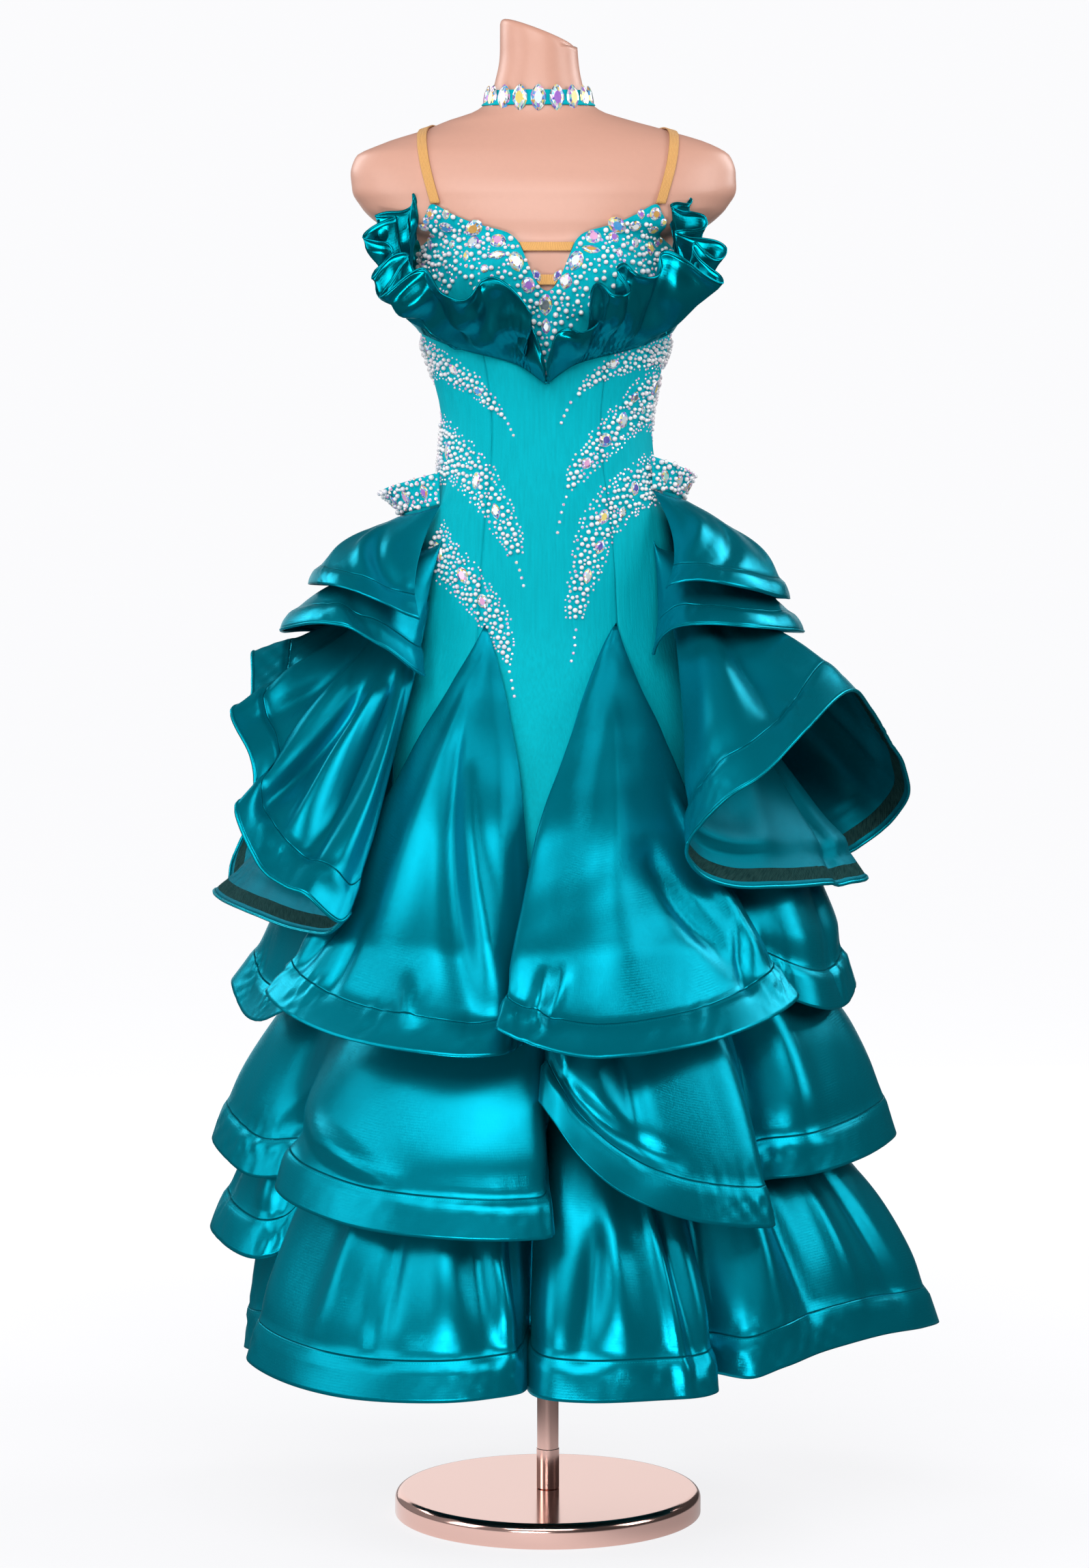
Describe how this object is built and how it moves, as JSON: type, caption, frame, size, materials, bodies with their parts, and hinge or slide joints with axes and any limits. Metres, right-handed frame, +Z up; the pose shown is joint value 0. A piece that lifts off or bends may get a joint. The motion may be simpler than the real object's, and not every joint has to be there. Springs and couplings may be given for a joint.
{
  "type": "ballroom dance dress on a dress form",
  "caption": "Strapped bodice with satin bust frill, fitted body, hip drapes, flared godets and tiered satin skirt, worn by a limbless form on a pole with a round base",
  "frame": {"origin": "centre of the base plate's underside, on the floor", "axes": "+Z is up along the pole, +X is to the right as seen from the front, and the front of the dress faces -Y"},
  "size_m": [0.7829, 0.7273, 1.5956],
  "materials": {
    "stand_metal": "mirror-polished rose gold metal",
    "form_skin": "smooth flesh-pink lacquered fibreglass, semi-gloss",
    "crystal": "iridescent cut-glass drops on a teal elastic band",
    "elastic": "tan woven elastic, fine ribs",
    "crepe": "matte teal stretch crepe with a fine upright grain, pearls and stones sewn on",
    "satin": "heavy duchess satin, deep teal with bright sheen",
    "lining": "plain teal underskirt cloth"
  },
  "bodies": {
    "root": {"base_plate": "stand_metal", "pole": "stand_metal", "dress_form": "form_skin", "choker": "crystal", "strap_left": "elastic", "strap_right": "elastic", "bridge_upper": "elastic", "bridge_lower": "elastic", "bodice_front": "crepe", "bodice_back": "crepe", "panel_front": "crepe", "panel_right": "crepe", "panel_back": "crepe", "panel_left": "crepe", "hip_collar_left": "crepe", "hip_collar_right": "crepe", "frill_left": "satin", "frill_right": "satin", "hip_tier_upper_left": "satin", "hip_tier_upper_right": "satin", "hip_tier_lower_left": "satin", "hip_tier_lower_right": "satin", "side_drape_left": "satin", "side_drape_right": "satin", "godet_front_left": "satin", "godet_front_right": "satin", "godet_side_left": "satin", "godet_side_right": "satin", "godet_back_left": "satin", "godet_back_right": "satin", "underskirt": "lining", "tier_middle": "satin", "tier_left": "satin", "tier_bottom": "satin"}
  },
  "joints": []
}
